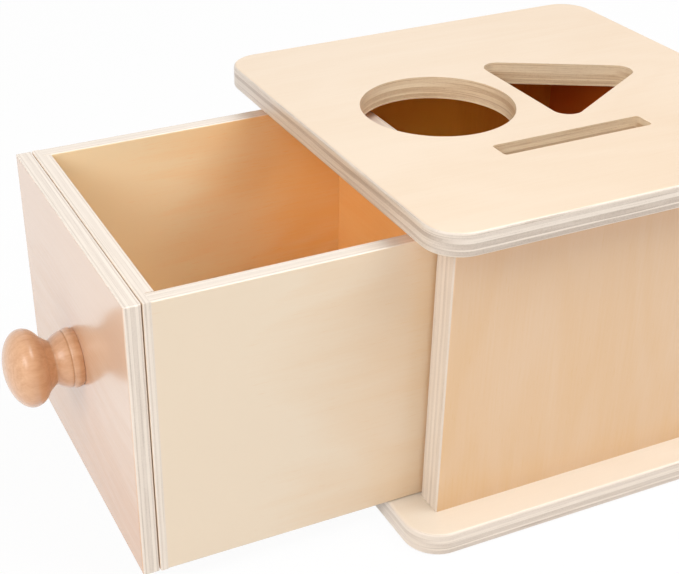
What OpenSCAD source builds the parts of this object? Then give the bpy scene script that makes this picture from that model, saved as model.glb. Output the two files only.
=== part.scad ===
// Object permanence box: a plywood box whose lid has a round, a triangular and a slot-shaped
// hole, with a drawer below that catches what is dropped in.
// Millimetres. The origin is the centre of the base plate's underside, +Z is up and the
// drawer opens towards -Y.

/* [Base plate and lid] */
// Width of both plates, left to right
plate_w = 188; // [180:1:220]
// Depth of both plates, front to back
plate_d = 183; // [176:1:220]
// Thickness of the base plate
base_t = 10; // [8.5:0.5:15]
// Thickness of the lid
lid_t = 9.5; // [8.5:0.5:15]
// Corner radius of both plates, seen from above
plate_corner_r = 14; // [6:1:24]
// Radius of the eased edges of both plates
plate_ease = 1.2; // [0.4:0.1:2]
// How far both plates reach past the walls, all round
overhang = 14; // [10:1:16]
// Height of the whole box
box_h = 140.5; // [120:0.5:180]

/* [Walls] */
// Thickness of the side walls and of the back wall
wall_t = 12; // [10:0.5:14]
// Radius of the eased upright edges of the side walls
wall_ease = 1; // [0.4:0.1:2]

/* [Lid holes] */
// Diameter of the round hole
round_d = 62.5; // [50:0.5:66]
// Place of the round hole and of the triangle, left to right
round_x = -7; // [-12:0.5:0]
// Place of the round hole, front to back
round_y = -34.5; // [-40:0.5:-32]
// Side of the triangle, before its corners are rounded
triangle_side = 72; // [60:1:76]
// Radius of the triangle's corners
triangle_r = 6.5; // [2:0.5:10]
// Place of the triangle's front side, front to back
triangle_y = 3.8; // [3:0.2:10]
// Width of the slot
slot_w = 9.5; // [6:0.5:14]
// Length of the slot
slot_l = 67; // [50:1:80]
// Radius of the slot's corners
slot_r = 1.5; // [0.5:0.25:2.5]
// Place of the slot, left to right
slot_x = 41; // [40:0.5:48]
// Place of the slot, front to back
slot_y = -3; // [-10:0.5:10]

/* [Drawer] */
// How far the drawer stands pulled out
drawer_pull = 109; // [0:1:130]
// Thickness of the drawer's boards
board_t = 6.5; // [6:0.5:9]
// Radius of the eased edges of the drawer's boards
board_ease = 0.6; // [0.3:0.1:1]
// Radius of the eased upright edges of the drawer face
face_ease = 1.2; // [0.4:0.1:2]
// Gap between the drawer face and the board behind it
face_gap = 0.2; // [0.1:0.1:0.5]
// Gap between the drawer and each side wall
side_gap = 1; // [0.5:0.1:2]
// Gap between the drawer and the base plate
floor_gap = 0.3; // [0.2:0.1:1]
// Gap between the drawer and the lid
lid_gap = 5.2; // [2:0.2:10]
// Gap between the drawer and the back wall when the drawer is shut
shut_gap = 0.5; // [0.3:0.1:2]
// How far the drawer box stands out past the walls when the drawer is shut
front_proud = 1; // [0:0.5:4]
// Thickness of the lips that cover the ends of the drawer sides
lip_t = 3; // [2.5:0.5:4]
// Thickness of the drawer's bottom panel
bottom_t = 3; // [2.5:0.5:5]
// Height of the bottom panel above the drawer's lower edge
bottom_z = 5; // [3:0.5:10]
// Depth of the groove that holds the bottom panel
groove_depth = 3; // [2:0.5:4]
// Play of the bottom panel in its groove
groove_play = 0.2; // [0.1:0.1:0.5]

/* [Knob] */
// Radius of the knob's head
head_r = 15.4; // [13:0.2:18]
// Distance from the drawer face to the widest part of the head
head_s = 19.8; // [18:0.2:24]
// Length of the head in front of its widest part
head_front = 9; // [7:0.2:12]
// Length of the head behind its widest part, as a half oval
head_back = 9.2; // [7:0.2:10]
// Radius of the knob above its rounded foot
foot_r = 11.5; // [10:0.1:12]
// Radius of the rounded edge of the foot
foot_round = 0.5; // [0.2:0.1:1]
// Radius of the ring around the foot
ring_r = 11.9; // [11.6:0.1:14]
// Height of the ring
ring_s = 4; // [3:0.1:5]
// Width of the turned line between the ring and the shoulder
line_w = 0.6; // [0.4:0.1:1.2]
// Depth of the turned line
line_depth = 0.5; // [0.2:0.1:1]
// Radius of the shoulder next to the turned line
shoulder_r = 11.3; // [10.5:0.1:12]
// Radius of the neck
neck_r = 8.7; // [7:0.1:10]
// Distance from the drawer face to the neck
neck_s = 10.1; // [8:0.1:11]

/* [Fasteners] */
// Diameter of the dowels
dowel_d = 6; // [5:0.5:7]
// Depth of a dowel in the lid
dowel_in_lid = 6; // [5:0.5:7]
// Depth of a dowel in the edge of a wall
dowel_in_edge = 18; // [14:1:22]
// Depth of a dowel in the face of a side wall
dowel_in_side = 7; // [6:0.5:8]
// Shank diameter of the screws in the base plate
base_screw_d = 3.5; // [3:0.5:4]
// Length of the screws in the base plate
base_screw_l = 32; // [26:1:36]
// Shank diameter of the knob's screw
knob_screw_d = 4; // [3:0.5:5]
// Depth of the knob's screw in the knob
knob_screw_in = 13; // [10:1:16]
// Shank diameter of the screws that hold the drawer face
face_screw_d = 3; // [2.5:0.5:3.5]
// Depth of a face screw in the drawer face
face_screw_in = 4.5; // [3.5:0.5:5]
// Diameter of the brads in the drawer's corners
brad_d = 1.2; // [1:0.1:1.6]
// Length of the brads
brad_l = 18; // [14:1:24]

/* [Hidden] */
$fn = 64;

PLY = [0.95, 0.85, 0.72];
PLY_INNER = [0.90, 0.76, 0.58];
TURNED = [0.86, 0.64, 0.45];
DOWEL = [0.87, 0.72, 0.54];
STEEL = [0.75, 0.75, 0.76];

// Cutters reach this far past the faces that they cut
past = 1;
// The sides of the triangle lie this far inside its corner circles, so that they cross cleanly
side_in = 0.002;

// The box between the plates
case_w = plate_w - 2 * overhang;
wall_l = plate_d - 2 * overhang;
wall_h = box_h - base_t - lid_t;
lid_z = box_h - lid_t;
bay_w = case_w - 2 * wall_t;
wall_front_y = -wall_l / 2;
bay_back_y = wall_l / 2 - wall_t;

// The drawer box, from its front to its back
drawer_w = bay_w - 2 * side_gap;
drawer_h = wall_h - floor_gap - lid_gap;
drawer_l = bay_back_y - shut_gap - wall_front_y + front_proud;
drawer_front_y = bay_back_y - shut_gap - drawer_pull - drawer_l;
drawer_z = base_t + floor_gap;
inner_w = drawer_w - 2 * board_t;
inner_l = drawer_l - 2 * board_t;
side_l = drawer_l - 2 * lip_t;
face_front_y = -face_gap - board_t;
panel_reach = groove_depth - groove_play;

// Places along the walls where a dowel joins the lid and a screw joins the base plate
side_fix_spread = 0.36;
back_fix_spread = 0.3;
side_mid_x = case_w / 2 - wall_t / 2;
back_mid_y = bay_back_y + wall_t / 2;
wall_fixes = concat(
    [for (side = [-1, 1], k = [-1, 0, 1]) [side * side_mid_x, k * side_fix_spread * wall_l]],
    [for (side = [-1, 1]) [side * back_fix_spread * bay_w, back_mid_y]]
);
// Heights of the dowels between the back wall and the side walls
back_dowel_z = [for (k = [0.25, 0.75]) base_t + k * wall_h];

dowel_chamfer = 0.6;
base_screw_head_d = 2 * base_screw_d;
base_screw_recess = 0.3;
knob_screw_head_d = 2 * knob_screw_d;
knob_screw_head_h = 0.6 * knob_screw_d;
knob_screw_play = 0.2;
dome_steps = 6;
face_screw_head_d = 2 * face_screw_d;
face_screw_x = 0.34 * drawer_w;
face_screw_l = board_t + face_gap + face_screw_in;
recess_depth = 1.2;
recess_w = 0.8;
knob_z = drawer_h / 2;
brad_z = [for (k = [0.25, 0.75]) k * drawer_h];

// Rectangle around the origin with rounded corners
module soft_rect(w, h, r) {
    square([w - 2 * r, h], center = true);
    square([w, h - 2 * r], center = true);
    for (x = [-1, 1], y = [-1, 1])
        translate([x * (w / 2 - r), y * (h / 2 - r)]) circle(r);
}

// Disc with eased rims, as used in the corners of a plate
module soft_disc(r, t, ease) {
    rotate_extrude() intersection() {
        soft_rect(2 * r, t, ease);
        translate([0, -t / 2]) square([r, t]);
    }
}

// Plate with rounded corners and eased edges, standing on z = 0
module soft_plate(w, d, t, r, ease) {
    translate([0, 0, t / 2]) {
        rotate([90, 0, 90]) linear_extrude(w - 2 * r, center = true) soft_rect(d, t, ease);
        rotate([90, 0, 0]) linear_extrude(d - 2 * r, center = true) soft_rect(w, t, ease);
        for (x = [-1, 1], y = [-1, 1])
            translate([x * (w / 2 - r), y * (d / 2 - r), 0]) soft_disc(r, t, ease);
    }
}

// Triangle with its front side along X through the origin and rounded corners
module soft_triangle(side, r) {
    inner = side - 2 * sqrt(3) * r;
    corners = [[-inner / 2, r], [inner / 2, r], [0, r + inner * sqrt(3) / 2]];
    for (c = corners) translate(c) circle(r);
    polygon([for (k = [0:2], turn = [150, 270]) corners[k] + (r - side_in) * dir(turn + 120 * k)]);
}

function dir(a) = [cos(a), sin(a)];

module at_wall_fixes() {
    for (p = wall_fixes) translate([p.x, p.y, 0]) children();
}

module dowel(l) {
    r = dowel_d / 2;
    c = dowel_chamfer;
    rotate_extrude() polygon([[0, 0], [r - c, 0], [r, c], [r, l - c], [r - c, l], [0, l]]);
}

// Hole for a dowel, with flat ends and no chamfer
module dowel_hole(l) {
    cylinder(d = dowel_d, h = l);
}

// Screw with a flush head at z = 0, its point towards +Z
module flush_screw(d, l, head_d) {
    head_h = (head_d - d) / 2;
    rotate_extrude()
        polygon([[0, 0], [head_d / 2, 0], [d / 2, head_h], [d / 2, l - d], [0, l]]);
}

// Space of a flush screw, open below its head
module flush_screw_hole(d, l, head_d) {
    flush_screw(d, l, head_d);
    translate([0, 0, -past]) cylinder(d = head_d, h = past);
}

// Cross-shaped recess in a screw's head, open below z = 0
module cross_recess(w) {
    for (a = [0, 90]) rotate(a) translate([-w / 2, -recess_w / 2, -past])
        cube([w, recess_w, recess_depth + past]);
}

module base_screw_holes() {
    at_wall_fixes() translate([0, 0, base_screw_recess])
        flush_screw_hole(base_screw_d, base_screw_l, base_screw_head_d);
}

module lid_dowel_holes() {
    at_wall_fixes() translate([0, 0, lid_z - dowel_in_edge])
        dowel_hole(dowel_in_edge + dowel_in_lid);
}

// Places children at the four dowels between the back wall and the side walls, +Z outwards
module at_back_dowels() {
    for (side = [-1, 1], z = back_dowel_z)
        translate([side * (bay_w / 2 - dowel_in_edge), back_mid_y, z])
            rotate([0, side * 90, 0]) children();
}

module back_dowel_holes() {
    at_back_dowels() dowel_hole(dowel_in_edge + dowel_in_side);
}

module base_plate() {
    color(PLY) difference() {
        soft_plate(plate_w, plate_d, base_t, plate_corner_r, plate_ease);
        base_screw_holes();
    }
}

module lid_holes() {
    translate([round_x, round_y]) circle(d = round_d);
    translate([round_x, triangle_y]) soft_triangle(triangle_side, triangle_r);
    translate([slot_x, slot_y]) soft_rect(slot_w, slot_l, slot_r);
}

module lid_plate() {
    color(PLY) difference() {
        translate([0, 0, lid_z])
            soft_plate(plate_w, plate_d, lid_t, plate_corner_r, plate_ease);
        translate([0, 0, lid_z - past]) linear_extrude(lid_t + 2 * past) lid_holes();
        lid_dowel_holes();
    }
}

module side_wall(side) {
    color(PLY_INNER) difference() {
        translate([side * side_mid_x, 0, base_t])
            linear_extrude(wall_h) soft_rect(wall_t, wall_l, wall_ease);
        base_screw_holes();
        lid_dowel_holes();
        back_dowel_holes();
    }
}

module left_wall() {
    side_wall(-1);
}

module right_wall() {
    side_wall(1);
}

module back_wall() {
    color(PLY_INNER) difference() {
        translate([-bay_w / 2, bay_back_y, base_t]) cube([bay_w, wall_t, wall_h]);
        base_screw_holes();
        lid_dowel_holes();
        back_dowel_holes();
    }
}

module lid_dowels() {
    color(DOWEL) at_wall_fixes() translate([0, 0, lid_z - dowel_in_edge])
        dowel(dowel_in_edge + dowel_in_lid);
}

module back_wall_dowels() {
    color(DOWEL) at_back_dowels() dowel(dowel_in_edge + dowel_in_side);
}

module base_screws() {
    color(STEEL) at_wall_fixes() translate([0, 0, base_screw_recess]) difference() {
        flush_screw(base_screw_d, base_screw_l, base_screw_head_d);
        cross_recess(base_screw_d);
    }
}

// The drawer's own frame: the middle of its front board's lower front edge
module in_drawer() {
    translate([0, drawer_front_y, drawer_z]) children();
}

// The same frame, turned to start from the drawer's back
module from_drawer_back() {
    in_drawer() translate([0, drawer_l, 0]) mirror([0, 1, 0]) children();
}

// Board across the drawer with all its edges eased, its front at y = 0
module cross_board(upright_ease) {
    intersection() {
        translate([0, board_t / 2, 0]) linear_extrude(drawer_h)
            soft_rect(drawer_w, board_t, upright_ease);
        translate([0, board_t / 2, drawer_h / 2]) rotate([90, 0, 90])
            linear_extrude(drawer_w, center = true) soft_rect(board_t, drawer_h, board_ease);
    }
}

// Cross board with a rabbet at both ends for the drawer sides, and the bottom panel's groove
module rabbeted_board() {
    difference() {
        cross_board(board_ease);
        for (side = [-1, 1])
            translate([side * (inner_w / 2 + board_t), lip_t + board_t, drawer_h / 2])
                cube([2 * board_t, 2 * board_t, drawer_h + 2 * past], center = true);
        translate([-inner_w / 2 - past, board_t - groove_depth, bottom_z])
            cube([inner_w + 2 * past, groove_depth + past, bottom_t + groove_play]);
    }
}

// Places children at the brads of one rabbeted board, +Z into the drawer sides
module at_brads() {
    for (side = [-1, 1], z = brad_z)
        translate([side * (drawer_w - board_t) / 2, 0, z]) rotate([-90, 0, 0]) children();
}

module brad_holes() {
    at_brads() translate([0, 0, -past]) cylinder(d = brad_d, h = brad_l + past);
}

module brads() {
    at_brads() cylinder(d = brad_d, h = brad_l);
}

// Places children at the face screws' heads, +Z towards the drawer face
module at_face_screws() {
    for (side = [-1, 1])
        translate([side * face_screw_x, board_t, knob_z]) rotate([90, 0, 0]) children();
}

module face_screw_holes() {
    at_face_screws() flush_screw_hole(face_screw_d, face_screw_l, face_screw_head_d);
}

// Places children at the knob screw's head, +Z towards the knob
module at_knob_screw() {
    translate([0, board_t, knob_z]) rotate([90, 0, 0]) children();
}

module knob_screw_hole() {
    at_knob_screw() translate([0, 0, -past])
        cylinder(d = knob_screw_d + 2 * knob_screw_play, h = board_t - face_front_y + 2 * past);
}

module drawer_front() {
    color(PLY) in_drawer() difference() {
        rabbeted_board();
        brad_holes();
        face_screw_holes();
        knob_screw_hole();
    }
}

module drawer_back() {
    color(PLY) from_drawer_back() difference() {
        rabbeted_board();
        brad_holes();
    }
}

module drawer_side(side) {
    color(PLY) difference() {
        in_drawer() difference() {
            translate([side * (drawer_w - board_t) / 2, lip_t + side_l / 2, drawer_h / 2])
                rotate([90, 0, 0]) linear_extrude(side_l, center = true)
                    soft_rect(board_t, drawer_h, board_ease);
            translate([side * inner_w / 2 - groove_depth, lip_t - past, bottom_z])
                cube([2 * groove_depth, side_l + 2 * past, bottom_t + groove_play]);
            brad_holes();
        }
        from_drawer_back() brad_holes();
    }
}

module drawer_left_side() {
    drawer_side(-1);
}

module drawer_right_side() {
    drawer_side(1);
}

module drawer_bottom() {
    color(PLY_INNER) in_drawer()
        translate([-inner_w / 2 - panel_reach, board_t - panel_reach, bottom_z])
            cube([inner_w + 2 * panel_reach, inner_l + 2 * panel_reach, bottom_t]);
}

module drawer_front_brads() {
    color(STEEL) in_drawer() brads();
}

module drawer_back_brads() {
    color(STEEL) from_drawer_back() brads();
}

module drawer_face() {
    color(PLY) in_drawer() difference() {
        translate([0, face_front_y, 0]) intersection() {
            cross_board(face_ease);
            translate([0, board_t / 2, drawer_h / 2]) rotate([90, 0, 0])
                linear_extrude(board_t, center = true) soft_rect(drawer_w, drawer_h, board_ease);
        }
        face_screw_holes();
        knob_screw_hole();
    }
}

module face_screws() {
    color(STEEL) in_drawer() at_face_screws() difference() {
        flush_screw(face_screw_d, face_screw_l, face_screw_head_d);
        cross_recess(face_screw_d);
    }
}

// Outline of the turned knob as [radius, distance from the face], from its foot to its front:
// a rounded foot, a bulging ring, a turned line, a shoulder that falls to the neck, a flank up
// to the head, and the head's oval
foot_steps = 4;
ring_steps = 8;
shoulder_steps = 12;
flank_steps = 6;
head_steps = 24;
shoulder_power = 1.7;
flank_power = 1.2;
head_join = 47;
shoulder_s = ring_s + line_w;
join_s = head_s - head_back * cos(head_join);
join_r = head_r * sin(head_join);
knob_outline = concat(
    [[0, 0]],
    [for (k = [0:foot_steps]) let (a = 90 * k / foot_steps)
        [foot_r - foot_round * (1 - sin(a)), foot_round * (1 - cos(a))]],
    [for (k = [1:ring_steps]) let (u = k / ring_steps)
        [foot_r + (ring_r - foot_r) * sin(180 * u), foot_round + u * (ring_s - foot_round)]],
    [[foot_r - line_depth, ring_s + line_w / 2]],
    [for (k = [0:shoulder_steps]) let (u = k / shoulder_steps)
        [neck_r + (shoulder_r - neck_r) * (1 - pow(u, shoulder_power)),
            shoulder_s + u * (neck_s - shoulder_s)]],
    [for (k = [1:flank_steps]) let (u = k / flank_steps)
        [neck_r + (join_r - neck_r) * pow(u, flank_power), neck_s + u * (join_s - neck_s)]],
    [for (k = [1:head_steps - 1]) let (a = head_join + (180 - head_join) * k / head_steps)
        [head_r * sin(a), head_s - (a < 90 ? head_back : head_front) * cos(a)]],
    [[0, head_s + head_front]]
);

module knob() {
    color(TURNED) in_drawer() translate([0, face_front_y, knob_z]) rotate([90, 0, 0]) difference() {
        rotate_extrude() polygon(knob_outline);
        translate([0, 0, -past]) cylinder(d = knob_screw_d, h = knob_screw_in + past);
    }
}

// Screw with a domed head on the inside of the drawer front
module knob_screw() {
    l = board_t - face_front_y + knob_screw_in;
    r = knob_screw_d / 2;
    head = knob_screw_head_d / 2;
    h = knob_screw_head_h;
    color(STEEL) in_drawer() at_knob_screw() difference() {
        rotate_extrude() polygon(concat(
            [for (k = [0:dome_steps]) let (a = 90 * k / dome_steps) [head * sin(a), -h * cos(a)]],
            [[r, 0], [r, l - r], [0, l]]
        ));
        translate([0, 0, -h]) cross_recess(knob_screw_d);
    }
}

base_plate();
lid_plate();
left_wall();
right_wall();
back_wall();
lid_dowels();
back_wall_dowels();
base_screws();
drawer_face();
drawer_front();
drawer_back();
drawer_left_side();
drawer_right_side();
drawer_bottom();
drawer_front_brads();
drawer_back_brads();
face_screws();
knob();
knob_screw();
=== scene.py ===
from collections import namedtuple
import math
import bpy
from mathutils import Euler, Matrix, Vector


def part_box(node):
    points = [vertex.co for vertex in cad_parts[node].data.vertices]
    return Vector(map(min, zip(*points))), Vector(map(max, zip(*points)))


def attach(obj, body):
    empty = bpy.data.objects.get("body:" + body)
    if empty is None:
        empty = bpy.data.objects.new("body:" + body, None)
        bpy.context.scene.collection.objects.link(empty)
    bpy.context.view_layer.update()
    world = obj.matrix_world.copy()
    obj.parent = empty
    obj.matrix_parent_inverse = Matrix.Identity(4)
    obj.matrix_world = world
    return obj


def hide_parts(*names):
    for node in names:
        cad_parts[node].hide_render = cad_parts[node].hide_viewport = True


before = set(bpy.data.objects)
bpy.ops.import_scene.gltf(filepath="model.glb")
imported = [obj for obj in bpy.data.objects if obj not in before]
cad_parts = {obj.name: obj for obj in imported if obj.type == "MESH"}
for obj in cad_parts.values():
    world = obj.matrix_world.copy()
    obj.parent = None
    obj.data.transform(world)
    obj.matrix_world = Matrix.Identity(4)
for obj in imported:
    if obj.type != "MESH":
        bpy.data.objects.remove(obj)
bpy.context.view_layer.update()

MM = 0.001
X, Y, Z = 0, 1, 2

# The photograph's width in pixels, and its camera, in metres and degrees
IMAGE_WIDTH = 679
FOCAL_PIXELS = 1320.4
SENSOR_MM = 36
CAMERA_PLACE = (0.4220, -0.2996, 0.3448)
CAMERA_TURN = (58.02, 0.85, 66.32)
CAMERA_SHIFT = (0.1246, 0.0693)

# The white studio: the light of its surround, and how far its floor is lifted to white
SURROUND_LIGHT = 0.22
WHITE = (1.0, 1.0, 1.0)
FLOOR_SIZE = 12.0
FLOOR_TONE = (0.88, 0.88, 0.88)
FLOOR_ROUGHNESS = 0.9
FLOOR_LIFT = 0.95
FLOOR_GAP = 0.2 * MM

# Woods, each from its pale to its warm tone. Honey, amber, umber and dusk go on the insides, partly
# as their own veneer and partly as painted shade; umber and dusk are deeper than bare wood, painted
# shade for the darkest insides
CREAM = (0.81, 0.645, 0.475), (0.74, 0.54, 0.35)
# The base top's tone is paler than the lid's cream, as painted light on the ledge
LIT_PALE = (0.795, 0.715, 0.61), (0.75, 0.645, 0.52)
TAN = (0.76, 0.525, 0.33), (0.72, 0.435, 0.195)
LINEN = (0.765, 0.625, 0.465), (0.73, 0.50, 0.295)
ROSE = (0.715, 0.49, 0.345), (0.61, 0.305, 0.13)
HONEY = (0.95, 0.78, 0.51), (0.94, 0.54, 0.20)
AMBER = (0.92, 0.53, 0.21), (0.88, 0.43, 0.14)
UMBER = (1.0, 0.475, 0.055), (0.66, 0.21, 0.012)
DUSK = (0.60, 0.12, 0.008), (0.52, 0.09, 0.005)
CHERRY = (0.73, 0.42, 0.235), (0.57, 0.275, 0.12)
DOWEL = (0.80, 0.62, 0.42), (0.66, 0.46, 0.28)

# Cut plies on a board's edges and in the lid's saw-cut holes, and zinc, from light to dark. The
# holes' tones are warmer and lighter than the edges' as painted bounce light
EDGE = (0.84, 0.74, 0.635), (0.43, 0.33, 0.255)
SAWN_AND_BOUNCE = (1.0, 0.825, 0.59), (0.63, 0.42, 0.24)
ZINC = (0.62, 0.62, 0.63), (0.44, 0.44, 0.46)

# Stacks of plies: where one ply ends and the next begins, as shares of the board's thickness,
# then how dark each ply is on an edge along the board's grain, and on an edge across it
Stack = namedtuple("Stack", "bounds side end")
PLATE = Stack((0.09, 0.26, 0.33, 0.56, 0.73, 0.93),
              (0.35, 1.0, 0.1, 0.9, 0.05, 0.5, 0.45),
              (0.3, 0.6, 0.9, 0.5, 1.2, 0.45, 0.5))
WALL = Stack((0.07, 0.18, 0.29, 0.41, 0.53, 0.64, 0.76, 0.93),
             (0.5, 0.8, 0.4, 0.7, 0.3, 0.9, 0.4, 0.7, 0.8),
             (1.0, 0.4, 1.1, 0.5, 1.2, 0.4, 1.1, 0.6, 1.0))
BOARD = Stack((0.12, 0.20, 0.36, 0.64, 0.80, 0.88),
              (0.1, 0.9, 0.1, 0.5, 0.0, 0.9, 0.2),
              (0.5, 1.2, 0.4, 0.9, 0.3, 1.2, 0.6))
PANEL = Stack((0.3, 0.7), (0.0, 0.9, 0.0), (1.2, 0.4, 1.2))
PLY_SOFTNESS = 0.012

# Noises, with their scales per mm. On a board the scales go along the grain, across it and into
# the board, but the third scale of the first three goes with the board's seed. On turned wood and
# steel they go along X, Y and Z
Noise = namedtuple("Noise", "scales detail roughness distortion", defaults=(0.5, 0.0))
CONTOURS = Noise((0.006, 0.022, 1.0), 2, 0.4, 0.4)
DRIFT = Noise((0.005, 0.014, 3.7), 1)
WAVE = Noise((0.02, 0.02, 1.0), 3)
STREAKS = Noise((0.03, 0.9, 1.0), 4, 0.6)
FLECKS = Noise((0.16, 2.2, 1.0), 1)
PATCHES = Noise((0.03, 0.03, 0.5), 2)
LINES = Noise((0.02, 0.02, 3.0), 4, 0.7)
PORES = Noise((1.6, 1.6, 1.6), 2)
FIBRES = Noise((0.25, 0.25, 4.0), 2)
YEARS = Noise((0.10, 0.012, 0.05), 2)
STRANDS = Noise((1.3, 0.12, 1.3), 3)
BRUSHING = Noise((3.0, 0.4, 3.0), 3)
NOISE_MEAN = 0.5

# How far a board's seed shifts its noises, in mm
SEED_ALONG, SEED_ACROSS = 131.0, 57.0

# The part of a noise's range in which a mark comes up, or in which the gloss changes
FLECK_RANGE = 0.62, 0.80
SPECK_RANGE = 0.56, 0.72
LINE_RANGE = 0.55, 0.61
FIBRE_RANGE = 0.55, 0.68
GLOSS_RANGE = 0.20, 0.80

# What each mark adds to a veneer's warmth; its rings are the sine of a noise times a rate
RING_RATE, RING_WARMTH = 46.0, 0.08
DRIFT_WARMTH = 1.2
STREAK_WARMTH = 0.35
FLECK_WARMTH = 0.25
MEAN_WARMTH = 0.35
# A shade fade that adds no painted shade
NO_SHADE_FADE = (X, 0.0, 0.0)

# How the plies' tones wear, what each mark adds to their darkness, and how far they wander, as a
# share of the board's thickness
PATCH_WEAR, PORE_WEAR, LEAST_WEAR = 0.9, 0.5, 0.3
LINE_DARKNESS, SPECK_DARKNESS, SAWN_DARKNESS = 0.7, 0.12, 0.24
PLY_WANDER = 0.06

# Where a board's edge turns into its face, as the normal's part along its thickness, and where a
# plate's rim gives way to its holes, as a share of its half width
FACE_RANGE = 0.75, 0.97
RIM_RANGE = 0.94, 0.86

# Gloss and relief of the boards, then the turned wood's rings, gloss and relief, and the steel
LACQUER_IOR = 1.5
VENEER_ROUGHNESS = 0.40, 0.50
STREAK_RELIEF, FLECK_RELIEF, PLY_RELIEF = 0.5, -0.3, -0.8
VENEER_BUMP, VENEER_DEPTH = 0.3, 0.12 * MM
YEAR_RATE, YEAR_WARMTH, TURNED_WARMTH = 60.0, 0.14, -0.07
TURNED_ROUGHNESS, TURNED_SATIN = (0.35, 0.45), 0.22
TURNED_BUMP, TURNED_DEPTH = 0.15, 0.1 * MM
STEEL_ROUGHNESS = 0.28, 0.45

# The turned knob, in mm: its foot, ring, turned line, shoulder, neck, flank and head. Each R is a
# radius and each S a distance from the drawer face
FOOT_R, FOOT_ROUND, FOOT_STEPS = 11.5, 0.5, 6
RING_R, RING_S, RING_STEPS = 11.9, 4.0, 12
LINE_W, LINE_DEPTH = 0.6, 0.5
SHOULDER_R, SHOULDER_POWER, SHOULDER_STEPS = 11.3, 1.7, 16
NECK_R, NECK_S = 8.7, 10.1
FLANK_POWER, FLANK_STEPS = 1.2, 8
HEAD_R, HEAD_S, HEAD_FRONT, HEAD_BACK = 15.4, 19.8, 9.0, 9.2
HEAD_JOIN, HEAD_STEPS = math.radians(47), 48
LATHE_SIDES = 96

# The sockets of a mix node that hold its two colours and their mixture
MIX_FIRST, MIX_SECOND, MIX_RESULT = 6, 7, 2


class Tree:
    """The node tree of a material or world, with short calls for the nodes that it needs."""

    def __init__(self, owner):
        owner.use_nodes = True
        self.nodes = owner.node_tree.nodes
        self.links = owner.node_tree.links

    def feed(self, socket, value):
        """Links a node's output to a socket, or writes a plain value into it."""
        if isinstance(value, bpy.types.NodeSocket):
            self.links.new(value, socket)
        else:
            socket.default_value = value

    def math(self, operation, first, second=0.0, clamp=False):
        node = self.nodes.new("ShaderNodeMath")
        node.operation = operation
        node.use_clamp = clamp
        self.feed(node.inputs[0], first)
        self.feed(node.inputs[1], second)
        return node.outputs[0]

    def add(self, *values):
        total = values[0]
        for value in values[1:]:
            total = self.math("ADD", total, value)
        return total

    def times(self, first, second):
        return self.math("MULTIPLY", first, second)

    def absolute(self, value):
        return self.math("ABSOLUTE", value)

    def clamped(self, value):
        return self.math("ADD", value, 0.0, clamp=True)

    def in_mm(self, metres):
        return self.times(metres, 1 / MM)

    def span(self, value, low, high, to_low=0.0, to_high=1.0):
        """Maps low..high of a value to another range, clamped, with soft ends."""
        node = self.nodes.new("ShaderNodeMapRange")
        node.interpolation_type = "SMOOTHSTEP"
        self.feed(node.inputs[0], value)
        for socket, number in zip(node.inputs[1:5], (low, high, to_low, to_high)):
            socket.default_value = number
        return node.outputs[0]

    def coordinates(self, kind):
        """The x, y and z of one kind of texture coordinates."""
        node = self.nodes.new("ShaderNodeSeparateXYZ")
        self.feed(node.inputs[0], self.nodes.new("ShaderNodeTexCoord").outputs[kind])
        return node.outputs

    def noise(self, kind, *place):
        """The value of one kind of noise at a place, which it scales."""
        vector = self.nodes.new("ShaderNodeCombineXYZ")
        for socket, value, scale in zip(vector.inputs, place, kind.scales):
            self.feed(socket, self.times(value, scale))
        node = self.nodes.new("ShaderNodeTexNoise")
        self.feed(node.inputs["Vector"], vector.outputs[0])
        node.inputs["Scale"].default_value = 1.0
        node.inputs["Detail"].default_value = kind.detail
        node.inputs["Roughness"].default_value = kind.roughness
        node.inputs["Distortion"].default_value = kind.distortion
        return node.outputs[0]

    def mix(self, factor, first, second):
        node = self.nodes.new("ShaderNodeMix")
        node.data_type = "RGBA"
        self.feed(node.inputs[0], factor)
        self.feed(node.inputs[MIX_FIRST], colour(first))
        self.feed(node.inputs[MIX_SECOND], colour(second))
        return node.outputs[MIX_RESULT]

    def steps(self, value, bounds, levels):
        """A tone that changes softly from one level to the next at each bound of a value."""
        node = self.nodes.new("ShaderNodeValToRGB")
        self.feed(node.inputs[0], value)
        ramp = node.color_ramp
        stops = [(0.0, levels[0])]
        for bound, before, after in zip(bounds, levels, levels[1:]):
            stops += [(bound - PLY_SOFTNESS, before), (bound + PLY_SOFTNESS, after)]
        while len(ramp.elements) < len(stops):
            ramp.elements.new(1.0)
        for element, (place, level) in zip(ramp.elements, stops):
            element.position = place
            element.color = colour((level, level, level))
        return node.outputs[0]

    def seen(self):
        """1 for rays from the camera and for those that gloss or glass sends on, else 0."""
        rays = self.nodes.new("ShaderNodeLightPath").outputs
        return self.clamped(self.add(
            rays["Is Camera Ray"], rays["Is Glossy Ray"], rays["Is Transmission Ray"]))


class Surface(Tree):
    """The node tree of a new material, with short calls for what its shader takes."""

    def __init__(self, name):
        self.material = bpy.data.materials.new(name)
        super().__init__(self.material)
        self.shader = self.nodes["Principled BSDF"]

    def set(self, socket, value):
        self.feed(self.shader.inputs[socket], value)

    def lacquer(self, roughness, ior=LACQUER_IOR):
        """A clear coat over the whole surface."""
        self.set("Coat Weight", 1.0)
        self.set("Coat Roughness", roughness)
        self.set("Coat IOR", ior)

    def bump(self, height, strength, distance):
        node = self.nodes.new("ShaderNodeBump")
        node.inputs["Strength"].default_value = strength
        node.inputs["Distance"].default_value = distance
        self.feed(node.inputs["Height"], height)
        self.set("Normal", node.outputs[0])


def colour(value):
    """An RGB triple as the four numbers that a socket takes; a socket stays as it is."""
    if isinstance(value, bpy.types.NodeSocket):
        return value
    return (*value, 1.0)


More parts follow.
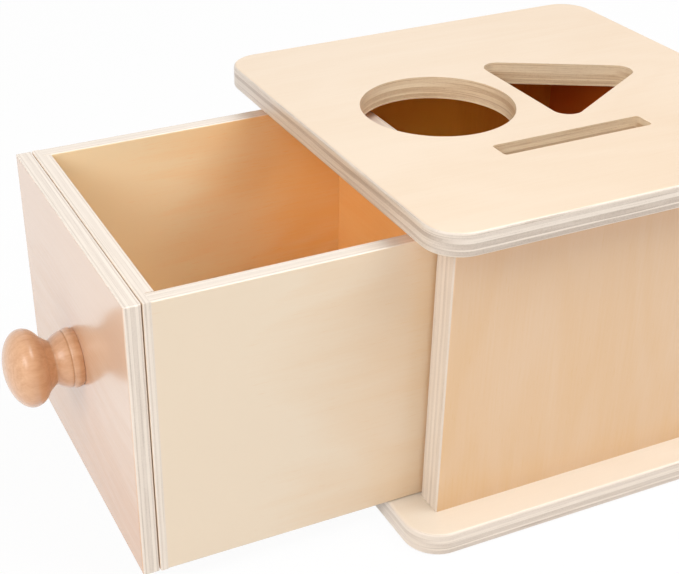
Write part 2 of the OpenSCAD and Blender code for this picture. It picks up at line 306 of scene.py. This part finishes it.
class Board(Surface):
    """A plywood board's material, with places along its grain, across it and into it, in mm."""

    def __init__(self, node, thick, grain, seed):
        super().__init__(node + "_plywood")
        self.low, self.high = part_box(node)
        self.thick, self.grain, self.seed = thick, grain, seed
        self.places = self.coordinates("Object")
        self.normals = self.coordinates("Normal")
        across = X + Y + Z - thick - grain
        self.along = self.add(self.in_mm(self.places[grain]), SEED_ALONG * seed)
        self.across = self.add(self.in_mm(self.places[across]), SEED_ACROSS * seed)
        self.deep = self.in_mm(self.add(self.places[thick], -self.low[thick]))

    def extent(self, axis):
        return self.high[axis] - self.low[axis]

    def deep_noise(self, kind):
        """A noise that changes along, across and into the board."""
        return self.noise(kind, self.along, self.across, self.deep)

    def flat_noise(self, kind):
        """A noise that is the same at every depth, and another one on each board."""
        return self.noise(kind, self.along, self.across, self.seed)

    def warmth(self, streaks, flecks, figure, shade_fade):
        """How warm a veneer is: contour rings, a broad drift, streaks, flecks, and a slow fade of
        painted shade along one axis.
        """
        rings = self.math("SINE", self.times(self.flat_noise(CONTOURS), RING_RATE))
        drift = self.flat_noise(DRIFT)
        axis, at_low, at_high = shade_fade
        return self.clamped(self.add(
            self.times(rings, RING_WARMTH * figure),
            self.times(self.add(drift, -NOISE_MEAN), DRIFT_WARMTH),
            self.times(self.add(streaks, -NOISE_MEAN), STREAK_WARMTH * figure),
            self.times(flecks, FLECK_WARMTH * figure),
            self.span(self.places[axis], self.low[axis], self.high[axis], at_low, at_high),
            MEAN_WARMTH))

    def ply_tone(self, stack):
        """The tone of the ply that a cut shows, from the cut's depth and its turn to the grain."""
        wander = self.times(self.add(self.flat_noise(WAVE), -NOISE_MEAN), PLY_WANDER)
        share = self.add(self.times(self.deep, MM / self.extent(self.thick)), wander)
        to_end = self.math("POWER", self.absolute(self.normals[self.grain]), 2.0)
        return self.mix(to_end, self.steps(share, stack.bounds, stack.side),
                        self.steps(share, stack.bounds, stack.end))

    def darkness(self, stack, lines, contrast):
        """How dark a cut edge is: its plies with their wear, thin lines and specks."""
        pores = self.deep_noise(PORES)
        wear = self.add(self.times(self.deep_noise(PATCHES), PATCH_WEAR),
                        self.times(pores, PORE_WEAR), LEAST_WEAR)
        specks = self.span(pores, *SPECK_RANGE)
        marks = self.add(self.times(self.ply_tone(stack), wear),
                         self.times(lines, LINE_DARKNESS), self.times(specks, SPECK_DARKNESS))
        return self.clamped(self.times(contrast, marks))

    def in_hole(self):
        """1 well inside the outline of a level plate, 0 on its rim."""
        reach = [self.absolute(self.times(self.places[axis], 2 / self.extent(axis)))
                 for axis in (X, Y)]
        return self.span(self.math("MAXIMUM", *reach), *RIM_RANGE)


def plywood(node, stack, thick, grain, seed, low, high, figure=1.0, contrast=0.3, sawn_and_bounce=None,
            shade_fade=NO_SHADE_FADE, satin=0.24, ior=LACQUER_IOR):
    """Plywood board: veneers on its low and high faces, and its plies along every cut edge.

    Thick and grain are the axes of its thickness and its grain. Figure and contrast scale the marks
    of its veneers and its plies. Shade fade is an axis, and the warmth added at its low and high
    ends, a painted shade gradient.
    """
    board = Board(node, thick, grain, seed)
    streaks = board.deep_noise(STREAKS)
    flecks = board.span(board.deep_noise(FLECKS), *FLECK_RANGE)
    warmth = board.warmth(streaks, flecks, figure, shade_fade)
    # The upper and lower faces take their own pairs of tones; the inside tones are partly their own
    # veneer and partly painted shade
    upper = board.math("GREATER_THAN", board.normals[thick], 0.0)
    face = board.mix(upper, board.mix(warmth, *low), board.mix(warmth, *high))

    lines = board.span(board.deep_noise(LINES), *LINE_RANGE)
    dark = board.darkness(stack, lines, contrast)
    cut = board.mix(dark, *EDGE)
    # In the lid's holes the plies show torn fibres, and a warmer, lighter tone as painted bounce
    # light
    if sawn_and_bounce:
        fibres = board.span(board.deep_noise(FIBRES), *FIBRE_RANGE)
        torn = board.times(board.add(lines, fibres), SAWN_DARKNESS)
        rough_and_bounce = board.mix(board.clamped(board.add(dark, torn)), *sawn_and_bounce)
        cut = board.mix(board.in_hole(), cut, rough_and_bounce)
    on_face = board.span(board.absolute(board.normals[thick]), *FACE_RANGE)
    board.set("Base Color", board.mix(on_face, cut, face))

    board.set("Roughness", board.span(streaks, *GLOSS_RANGE, *VENEER_ROUGHNESS))
    board.lacquer(satin, ior)
    relief = board.add(board.times(streaks, STREAK_RELIEF), board.times(flecks, FLECK_RELIEF),
                       board.times(dark, PLY_RELIEF))
    board.bump(relief, VENEER_BUMP, VENEER_DEPTH)
    dress(node, board.material)


def turned_wood(name, axis_height, pale, warm):
    """Turned hardwood: long fibres along Y, with yearly rings, under a clear coat."""
    wood = Surface(name + "_wood")
    x, y, z = wood.coordinates("Object")
    place = [wood.in_mm(value) for value in (x, y, wood.add(z, -axis_height))]
    rings = wood.math("SINE", wood.times(wood.noise(YEARS, *place), YEAR_RATE))
    strands = wood.noise(STRANDS, *place)
    warmth = wood.add(wood.times(rings, YEAR_WARMTH), strands, TURNED_WARMTH)
    wood.set("Base Color", wood.mix(wood.clamped(warmth), pale, warm))
    wood.set("Roughness", wood.span(strands, *GLOSS_RANGE, *TURNED_ROUGHNESS))
    wood.lacquer(TURNED_SATIN)
    wood.bump(strands, TURNED_BUMP, TURNED_DEPTH)
    return wood.material


def zinc_steel():
    """Zinc-plated steel with a fine brushed grain."""
    metal = Surface("zinc_steel")
    place = [metal.in_mm(value) for value in metal.coordinates("Object")]
    brushing = metal.noise(BRUSHING, *place)
    metal.set("Base Color", metal.mix(brushing, *ZINC))
    metal.set("Roughness", metal.span(brushing, *GLOSS_RANGE, *STEEL_ROUGHNESS))
    metal.set("Metallic", 1.0)
    return metal.material


def dress(node, material):
    """Gives a CAD node its material in every slot."""
    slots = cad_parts[node].data.materials
    for k in range(len(slots)):
        slots[k] = material


def shares(steps, first=1):
    """Even shares up to 1, from 0 if first is 0 or else from the first step."""
    return [k / steps for k in range(first, steps + 1)]


def knob_outline():
    """Outline of the knob as radius and distance from the drawer face, foot first, in mm."""
    for share in shares(FOOT_STEPS, 0):
        turn = math.pi / 2 * share
        yield FOOT_R - FOOT_ROUND * (1 - math.sin(turn)), FOOT_ROUND * (1 - math.cos(turn))
    for share in shares(RING_STEPS):
        yield (FOOT_R + (RING_R - FOOT_R) * math.sin(math.pi * share),
               FOOT_ROUND + (RING_S - FOOT_ROUND) * share)
    yield FOOT_R - LINE_DEPTH, RING_S + LINE_W / 2
    shoulder_s = RING_S + LINE_W
    for share in shares(SHOULDER_STEPS, 0):
        yield (NECK_R + (SHOULDER_R - NECK_R) * (1 - share ** SHOULDER_POWER),
               shoulder_s + (NECK_S - shoulder_s) * share)
    join_r = HEAD_R * math.sin(HEAD_JOIN)
    join_s = HEAD_S - HEAD_BACK * math.cos(HEAD_JOIN)
    for share in shares(FLANK_STEPS):
        yield (NECK_R + (join_r - NECK_R) * share ** FLANK_POWER,
               NECK_S + (join_s - NECK_S) * share)
    for share in shares(HEAD_STEPS):
        turn = HEAD_JOIN + (math.pi - HEAD_JOIN) * share
        length = HEAD_BACK if turn < math.pi / 2 else HEAD_FRONT
        yield HEAD_R * math.sin(turn), HEAD_S - length * math.cos(turn)


def knob_mesh(axis_x, face_y, axis_z):
    """The knob's outline turned about its axis: rings of corners, a flat foot and a tip."""
    *outline, (_, tip_distance) = knob_outline()
    corners = []
    for radius, distance in outline:
        for k in range(LATHE_SIDES):
            turn = 2 * math.pi * k / LATHE_SIDES
            corners.append((axis_x + radius * math.cos(turn) * MM, face_y - distance * MM,
                            axis_z + radius * math.sin(turn) * MM))
    tip = len(corners)
    corners.append((axis_x, face_y - tip_distance * MM, axis_z))

    sides = [(k, (k + 1) % LATHE_SIDES) for k in range(LATHE_SIDES)]
    last_ring = tip - LATHE_SIDES
    faces = [(ring + a, ring + b, ring + b + LATHE_SIDES, ring + a + LATHE_SIDES)
             for ring in range(0, last_ring, LATHE_SIDES) for a, b in sides]
    faces.append(tuple(reversed(range(LATHE_SIDES))))
    faces += [(last_ring + a, last_ring + b, tip) for a, b in sides]
    mesh = bpy.data.meshes.new("turned_knob")
    mesh.from_pydata(corners, [], faces)
    mesh.shade_smooth()
    return mesh


def turned_knob():
    """The knob as one smooth lathe form, in the place of its CAD node."""
    low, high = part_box("knob")
    axis_x, axis_z = (low[X] + high[X]) / 2, (low[Z] + high[Z]) / 2
    mesh = knob_mesh(axis_x, high[Y], axis_z)
    mesh.materials.append(turned_wood("knob", axis_z, *CHERRY))
    knob = bpy.data.objects.new("turned_knob", mesh)
    bpy.context.scene.collection.objects.link(knob)
    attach(knob, "drawer")
    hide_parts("knob")


def white_floor():
    """A wide white floor, which keeps a faint shadow of the object."""
    bpy.ops.mesh.primitive_plane_add(size=FLOOR_SIZE)
    floor = bpy.context.object
    floor.name = "floor"
    floor.location.z = -FLOOR_GAP
    paint = Surface("floor_white")
    paint.set("Base Color", colour(FLOOR_TONE))
    paint.set("Roughness", FLOOR_ROUGHNESS)
    glow = paint.nodes.new("ShaderNodeEmission")
    join = paint.nodes.new("ShaderNodeMixShader")
    paint.feed(join.inputs[0], paint.times(paint.seen(), FLOOR_LIFT))
    paint.feed(join.inputs[1], paint.shader.outputs[0])
    paint.feed(join.inputs[2], glow.outputs[0])
    paint.feed(paint.nodes["Material Output"].inputs["Surface"], join.outputs[0])
    floor.data.materials.append(paint.material)


def white_surround():
    """A surround that looks white, but gives a weaker light."""
    world = bpy.data.worlds.new("studio")
    bpy.context.scene.world = world
    tree = Tree(world)
    background = tree.nodes["Background"]
    background.inputs["Color"].default_value = colour(WHITE)
    tree.feed(background.inputs["Strength"],
              tree.span(tree.seen(), 0.0, 1.0, SURROUND_LIGHT, 1.0))


def softbox(name, place, aim, size, watts, shines=True):
    """A square studio light at a place, turned towards a point; gloss shows it if it shines."""
    lamp = bpy.data.lights.new(name, "AREA")
    lamp.size = size
    lamp.energy = watts
    light = bpy.data.objects.new(name, lamp)
    light.location = place
    light.visible_glossy = shines
    light.rotation_mode = "QUATERNION"
    light.rotation_quaternion = (Vector(aim) - Vector(place)).to_track_quat("-Z", "Y")
    bpy.context.scene.collection.objects.link(light)


def photo_camera():
    """The photograph's camera."""
    data = bpy.data.cameras.new("photo_camera")
    data.sensor_width = SENSOR_MM
    data.lens = FOCAL_PIXELS / IMAGE_WIDTH * SENSOR_MM
    data.shift_x, data.shift_y = CAMERA_SHIFT
    camera = bpy.data.objects.new("photo_camera", data)
    camera.location = CAMERA_PLACE
    camera.rotation_euler = Euler([math.radians(turn) for turn in CAMERA_TURN])
    bpy.context.scene.collection.objects.link(camera)
    bpy.context.scene.camera = camera


# The case
# The lid: amber on its underside is partly painted shade, and its top is darker towards the back as
# painted shade
plywood("lid_plate", PLATE, Z, Y, 1, AMBER, CREAM, figure=0.9, contrast=0.7, sawn_and_bounce=SAWN_AND_BOUNCE,
        shade_fade=(Y, -0.25, 0.25), satin=0.34)
# The base's top is paler than the lid, as painted light on its ledge
plywood("base_plate", PLATE, Z, Y, 2, CREAM, LIT_PALE, contrast=0.5, satin=0.34)
# The left wall's umber inside is partly painted shade, and it deepens towards the back as painted
# shade
plywood("left_wall", WALL, X, Z, 3, TAN, UMBER, contrast=0.45, shade_fade=(Y, -1.6, 0.6))
# The right wall's honey inside is partly painted shade, and it warms towards its foot as painted
# shade
plywood("right_wall", WALL, X, Z, 4, HONEY, TAN, figure=1.2, contrast=0.45,
        shade_fade=(Z, 0.2, -0.2))
# The back wall's dusk inside is partly painted shade
plywood("back_wall", WALL, Y, Z, 5, DUSK, TAN, contrast=0.45)

# The drawer, whose face is glossier than the other boards
# The face warms towards its bottom as painted shade
plywood("drawer_face", BOARD, Y, X, 6, ROSE, ROSE, contrast=0.4, shade_fade=(Z, 0.5, -0.5),
        satin=0.14, ior=1.6)
# Honey and amber on the drawer's insides are partly painted shade, and both sides warm towards the
# back as painted shade
plywood("drawer_front", BOARD, Y, X, 7, CREAM, HONEY, figure=1.5)
plywood("drawer_back", BOARD, Y, X, 8, AMBER, CREAM, figure=1.5)
plywood("drawer_left_side", BOARD, X, Y, 9, LINEN, HONEY, figure=1.1, shade_fade=(Y, -0.55, 0.55))
plywood("drawer_right_side", BOARD, X, Y, 10, HONEY, LINEN, shade_fade=(Y, -0.5, 0.5))
plywood("drawer_bottom", PANEL, Z, Y, 11, CREAM, HONEY, figure=1.5)
turned_knob()

# The dowels, the CAD knob that the turned one replaces, and the screws and brads
for dowels in ("lid_dowels", "back_wall_dowels"):
    dress(dowels, turned_wood(dowels, 0.0, *DOWEL))
dress("knob", turned_wood("knob_core", 0.0, *CHERRY))
steel = zinc_steel()
for fasteners in ("base_screws", "drawer_front_brads", "drawer_back_brads", "face_screws",
                  "knob_screw"):
    dress(fasteners, steel)

# The studio, where gloss shows only the key light and the small glint, so that no face glares
white_floor()
white_surround()
softbox("key", (0.45, 0.55, 1.35), (0.0, -0.05, 0.08), 1.1, 17.5)
softbox("fill", (0.55, -0.95, 0.80), (0.0, -0.12, 0.07), 0.8, 6.6, shines=False)
softbox("glint", (0.42, -1.04, 0.74), (0.0, -0.20, 0.07), 0.42, 2.0)
softbox("front", (-0.35, -1.60, 0.40), (0.0, -0.15, 0.07), 1.4, 3.5, shines=False)
softbox("right", (1.20, -1.10, 0.40), (0.0, -0.10, 0.07), 1.0, 1.5, shines=False)
softbox("back", (-0.95, 0.95, 0.55), (0.0, 0.0, 0.07), 1.0, 3.0, shines=False)
photo_camera()
bpy.context.scene.view_settings.view_transform = "Standard"
